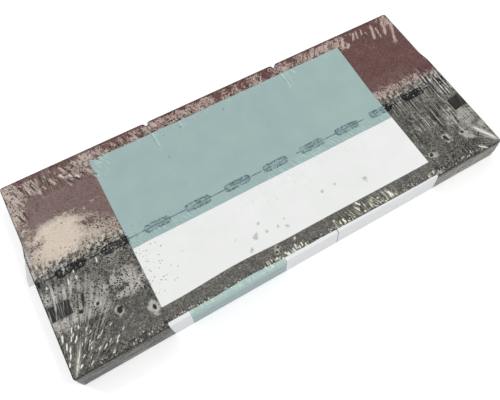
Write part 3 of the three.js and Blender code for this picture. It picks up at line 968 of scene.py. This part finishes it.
def panel_print(t):
    """The big panel on top: a teal field and a white one, bare of words. Colour and cover."""
    x, y = t.x, t.y
    right = y.rise(20, 190, PANEL_X[1], PANEL_X[1] + 5.5)
    bow = x.away(-150).rise(0, 130, 4.5, 0) + x.rise(20, 325, 0, -3)
    near = PANEL_Y[0] + bow
    wrinkle = t.streaks(3.0, 20, -64)
    pleat = t.attribute("pleat")
    fray = wrinkle.swing(40) * pleat.rise(0.35, 0.75) * y.rise(110, 150) * x.fall(-260, -230)
    far = PANEL_Y[1] + t.noise(45, 2).swing(5) + fray
    cover = (x - (PANEL_X[0] + fray)).rise(-0.8, 0.8) * (x - right).fall(-0.5, 0.5)
    cover = cover * (y - near).rise(-0.5, 0.5) * (y - far).fall(-0.8, 0.8) * t.near_top(3, 2)
    level = y + x * 0.005 + t.noise(60, 1).swing(3)
    teal = level.rise(TEAL_END - 0.5, TEAL_END + 0.5)
    mottle = t.noise(55, 3).swing(1.3) + t.noise(3.4, 2).swing(0.8) + x.rise(120, 320, 0.5, 0.8)
    white = t.blend(mottle, *WHITE_INK)
    colour = t.blend(teal, white, t.blend(mottle, *TEAL_INK))
    dashes = seal_dashes(t, 0.06, 0.42) * teal * t.noise(21, 2).rise(0.34, 0.46, 0.45, 1.0)
    colour = t.blend(dashes, colour, TEAL_SHADE)
    # the panel's wrinkles: painted highlights and painted shade in streaks that lean to the right, and on
    # its drawn folds
    light = t.greatest(wrinkle.rise(0.54, 0.66) * pleat, pleat.rise(0.74, 1.05))
    colour = t.blend(light * 0.75, colour, t.blend(teal, *PLEAT_HIGHLIGHT))
    shade = wrinkle.fall(0.34, 0.45) * pleat
    colour = t.blend(shade * 0.4, colour, t.blend(teal, *PLEAT_SHADE))
    # grey pepper at the left, and larger smudges, with a painted shade line over each slot
    chance, from_middle = t.cells(5.4)
    thick = x.fall(-306, -236) * y.between(-146, -2, soft=16) * 0.6
    spot = (from_middle + t.noise(2.4, 2).swing(0.7)).fall(0.12, 0.40)
    pepper = (chance - (1 - thick)).rise(-0.02, 0.02) * spot
    smudge = (t.attribute("smudge") + t.noise(2.6, 2).swing(1.0)).rise(0.30, 0.70)
    grey = t.greatest(pepper * 0.85, smudge * 0.6)
    return t.blend(grey, colour, t.blend(teal, *SMUDGE_AND_SHADE)), cover


def strip_print(t):
    """The strip on the near side, which starts on the top's edge: white, teal and white again."""
    front = t.y.fall(-HALF_Y + 1.0, -HALF_Y + 2.0)
    over_edge = t.x.rise(-120, 330, 9.3, 4.8) + t.x.away(-140).rise(0, 70, 2.6, 0.0)
    upper_edge = t.y + HALF_Y + t.noise(14, 2).swing(1.6) - over_edge
    on_top = t.near_top(3, 2) * upper_edge.fall(-0.5, 0.5)
    lean = t.x + t.z * 0.06 - HEIGHT * 0.06
    cover = lean.between(*STRIP_X) * t.greatest(front, on_top)
    teal = t.x.between(*STRIP_TEAL)
    upper = t.near_top(26, 6) + t.noise((40, 40, 5), 1).swing(0.7)
    colour = t.blend(teal, STRIP_WHITE, t.blend(upper, *STRIP_TEAL_INK))
    streak = t.streaks(2.8, 12, 88).rise(0.5, 0.62) * t.near_top(14, 2) * teal
    colour = t.blend(streak * 0.6, colour, TEAL_LIGHT)
    rim = t.x.between(STRIP_TEAL[1] - 0.5, STRIP_TEAL[1] + 3.0)
    colour = t.blend(rim, colour, STRIP_RIM)
    cut = lean.between(STRIP_CUT - 1.7, STRIP_CUT + 0.8) * 0.75
    return t.blend(cut, colour, GREY_INK), cover


def end_marks(t):
    """Dark marks on the film's edges at both ends. Colour and cover."""
    left = t.x.fall(LEFT_MARK - 0.5, LEFT_MARK + 0.5) * t.y.between(*MARK_Y)
    level = t.y - (t.x - RIGHT_MARK) * 0.12
    right = t.x.rise(RIGHT_MARK - 0.5, RIGHT_MARK + 0.5) * level.between(*MARK_Y)
    streaks = t.streaks(1.8, 40, 85, 2).rise(0.50, 0.72)
    colour = t.blend(streaks * t.x.rise(-300, 300, 0.75, 0.22), DARK_INK, INK_STREAK)
    return colour, t.greatest(left, right) * t.near_top(14, 13)


def film_material():
    """Clear shrink film: gloss over see-through, whitened where it holds dust, with painted glints and
    painted highlights along its folds and creases.
    """
    t = Tree(bpy.data.materials.new("clear_printed_film"))
    on_tabs = t.y.rise(4.0, 24.0)
    on_top = t.near_top(1.6, 0.8)
    short, long, aslant = fold_noise(t)
    fold, glint, shine = (t.attribute(name) for name in ("fold", "glint", "shine"))

    speckle, _ = t.cells(2.0)
    mottle = speckle * 0.4 + t.noise(20, 3) * 0.6
    # the film's white haze, which over the near corners' folds is a painted sheen
    veil = t.attribute("veil") * mottle.rise(0.2, 0.8, 0.6, 1.4)
    layer = t.blend(on_tabs, GREY_VEIL_AND_SHEEN, MAUVE_VEIL), veil
    # the sides: a smeared veil over the sheets' edges, darker at the left
    smear = t.noise((60, 60, 2.2), 3, 0.6)
    fall_light = t.noise((26, 26, 40), 2)
    side_cover = (smear + fall_light.swing(0.6)).rise(0.3, 0.7, 0.3, 0.8)
    side_cover = (1 - on_top) * t.choose(t.z.fall(1.0, 2.0), side_cover, 0.4)
    side_colour = t.blend(t.x.rise(-480, -100), *SIDE_VEIL)
    wiped = t.noise((90, 90, 7), 2, 0.6).rise(0.50, 0.60)
    wiped = wiped * (1 - on_top) * t.x.rise(-340, -280, 1.0, 0.3)
    under_top = t.near_top(15, 9) * t.x.rise(0, 300)
    side_colour = t.blend(under_top * 0.85, side_colour, SIDE_VEIL[0])
    on_ear = t.x.fall(-HALF_X - 1.6, -HALF_X - 0.8)
    side_colour = t.blend(on_ear, side_colour, EAR_VEIL)
    layer = t.over(layer, side_colour, t.choose(on_ear, side_cover, 0.45))
    layer = t.over(layer, SIDE_WIPED, wiped * (1 - on_ear) * 0.4)

    dark_flecks = flecks(t)
    dust_colour, dust_cover = dust(t, on_tabs, long)
    layer = t.over(layer, dust_colour, dust_cover * (1 - dark_flecks))
    # the dark of the granules' flecks, also painted shade in creases, holes and between the near edge's
    # glints
    shade_and_fleck_colour = t.blend(on_tabs, SHADE_AND_FLECK_DARK, TAB_SHADE_AND_FLECK)
    shade_and_fleck_colour = t.blend(aslant * t.y.fall(-180, -170), shade_and_fleck_colour, OLIVE_SHADE_AND_FLECK)
    layer = t.over(layer, shade_and_fleck_colour, dark_flecks * 0.84)
    # painted highlights and painted shade along the long folds
    layer = t.over(layer, FOLD_HIGHLIGHT, long.rise(0.55, 0.66) * fold * 0.7)
    layer = t.over(layer, shade_and_fleck_colour, long.fall(0.38, 0.48) * fold * 0.6)
    near_edge = t.x.between(*STRIP_X) * t.y.fall(-178, -170)
    sparkle = short.swing(t.choose(near_edge * shine, 0.8, 2.8))
    ragged_dark_edge = t.noise(3.4, 2).swing(0.9)
    # painted shade in creases and holes
    dark = (t.attribute("dark") + sparkle * 0.7 + ragged_dark_edge).rise(0.32, 0.60)
    layer = t.over(layer, shade_and_fleck_colour, dark * 0.92)
    layer = t.over(layer, BITUMEN, seal_dashes(t, 0.35, 0.96) * on_top * 0.92)
    # light grit that clings to the dashes
    chance, from_grit = t.cells(5.6, 0.75, 20)
    clings = t.y.away(DASH_Y).fall(4.5, 7.0) * on_top
    grit = chance.rise(0.58, 0.64) * from_grit.fall(0.24, 0.42) * clings
    layer = t.over(layer, PALE_GREY, grit * 0.56)

    # the beads' painted glints and painted shade, the end marks and the prints
    for colour, where in (*beads(t), end_marks(t), panel_print(t), strip_print(t)):
        layer = t.over(layer, colour, where)

    # painted glints and painted highlights along the film's folds and creases
    bright = (shine + sparkle).rise(0.15, 0.8)
    glints = (short + glint * 0.34).rise(0.83, 0.88)
    cool = t.noise(9, 1).rise(0.55, 0.60) * (1 - aslant)
    cool = t.greatest(cool, t.x.fall(-440, -430) * t.y.rise(-130, -100))
    glint_colour = t.blend(cool, GLINT_WARM, GLINT_COOL)
    white = t.greatest(shine.rise(0.4, 0.9), t.x.rise(430, 450, 0, 0.8))
    glint_colour = t.blend(white, glint_colour, GLINT_WHITE)
    glint_colour = t.blend(t.y.rise(60, 120), glint_colour, GLINT_TABS)
    layer = t.over(layer, glint_colour, t.greatest(bright, glints) * 0.92)

    ripple = t.bump(t.noise(18, 3, 0.6), 0.3, 0.8)
    ripple = t.bump(short * glint + long * fold, 0.4, 0.4, ripple)
    haze = t.principled(layer[0], 0.34, ripple, 0.15)
    fresnel = t.new("ShaderNodeFresnel", {"IOR": 1.22, "Normal": ripple})
    clear = t.new("ShaderNodeBsdfTransparent", {"Color": (0.98, 0.985, 0.98, 1)})
    gloss = t.new("ShaderNodeBsdfGlossy", {"Roughness": 0.12, "Normal": ripple})
    skin = t.mix(fresnel, clear, gloss)
    return t.finish(t.mix(layer[1], skin, haze))


# ---- stage -----------------------------------------------
CAMERA_AT = (-0.2864, -0.5233, 1.1240)
CAMERA_RIGHT = (0.85963, -0.51053, 0.01987)
CAMERA_FORWARD = (0.25793, 0.40007, -0.87944)
FOCAL_PIXELS, FRAME_WIDTH, FRAME_HEIGHT = 563.8, 500, 400
VIEW_CENTRE = (277.2, 173.2)  # the pixel that the camera's axis runs through


def make_camera():
    data = bpy.data.cameras.new("photo_camera")
    data.sensor_width = 36
    data.lens = FOCAL_PIXELS / FRAME_WIDTH * data.sensor_width
    data.shift_x = (FRAME_WIDTH / 2 - VIEW_CENTRE[0]) / FRAME_WIDTH
    data.shift_y = (VIEW_CENTRE[1] - FRAME_HEIGHT / 2) / FRAME_WIDTH
    data.clip_start, data.clip_end = 0.01, 50
    camera = added("photo_camera", data)
    forward = Vector(CAMERA_FORWARD).normalized()
    right = Vector(CAMERA_RIGHT)
    right = (right - right.dot(forward) * forward).normalized()
    up = right.cross(forward)
    axes = Matrix((right, up, -forward)).transposed().to_4x4()
    camera.matrix_world = Matrix.Translation(CAMERA_AT) @ axes
    bpy.context.scene.camera = camera


def area_light(name, place, aim, size, power):
    data = bpy.data.lights.new(name, "AREA")
    data.shape = "RECTANGLE"
    data.size, data.size_y = size
    data.energy = power
    light = added(name, data)
    light.location = place
    light.rotation_euler = (Vector(aim) - Vector(place)).to_track_quat("-Z", "Y").to_euler()


def seen_rays(t):
    """1 for rays from the camera, a mirror or glass, and 0 for those that carry light."""
    path = t.new("ShaderNodeLightPath")
    return t.greatest(path["Is Camera Ray"], path["Is Glossy Ray"], path["Is Transmission Ray"])


def make_floor():
    reach = 6.0
    mesh = bpy.data.meshes.new("floor")
    mesh.from_pydata([(-reach, -reach, 0), (reach, -reach, 0), (reach, reach, 0), (-reach, reach, 0)],
                     [], [(0, 1, 2, 3)])
    floor = added("floor", mesh)
    floor.location.z = CAD_LOW.z - 0.2 * MM
    t = Tree(bpy.data.materials.new("floor_paint"))
    paint = t.new("ShaderNodeBsdfDiffuse", {"Color": (0.8, 0.8, 0.8, 1)})
    glow = t.new("ShaderNodeEmission", {"Strength": seen_rays(t) * 0.42})
    mesh.materials.append(t.finish(t.new("ShaderNodeAddShader", {0: paint, 1: glow})))


def make_world():
    t = Tree(bpy.data.worlds.new("studio"))
    level = t.new("ShaderNodeMapRange", {"Value": seen_rays(t), "To Min": 0.68, "To Max": 1.0})
    sky = t.new("ShaderNodeBackground", {"Color": (1, 1, 1, 1), "Strength": level})
    bpy.context.scene.world = t.finish(sky, "ShaderNodeOutputWorld")


def main():
    make_camera()
    make_floor()
    make_world()
    area_light("key", (-2.0, 1.6, 2.6), (0, 0, 0), (0.4, 0.4), 22)
    area_light("spark", (0.9, -1.2, 2.8), (0, 0, 0), (0.3, 0.3), 16)
    shingle = shingle_material()
    for name in SHINGLES:
        node = bpy.data.objects[name]
        node.data.materials.clear()
        node.data.materials.append(shingle)
    film = added("film_wrap", film_mesh())
    film.data.materials.append(film_material())
    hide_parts("shrink_film")
    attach(film, "root")
    bpy.context.scene.view_settings.view_transform = "Standard"


main()
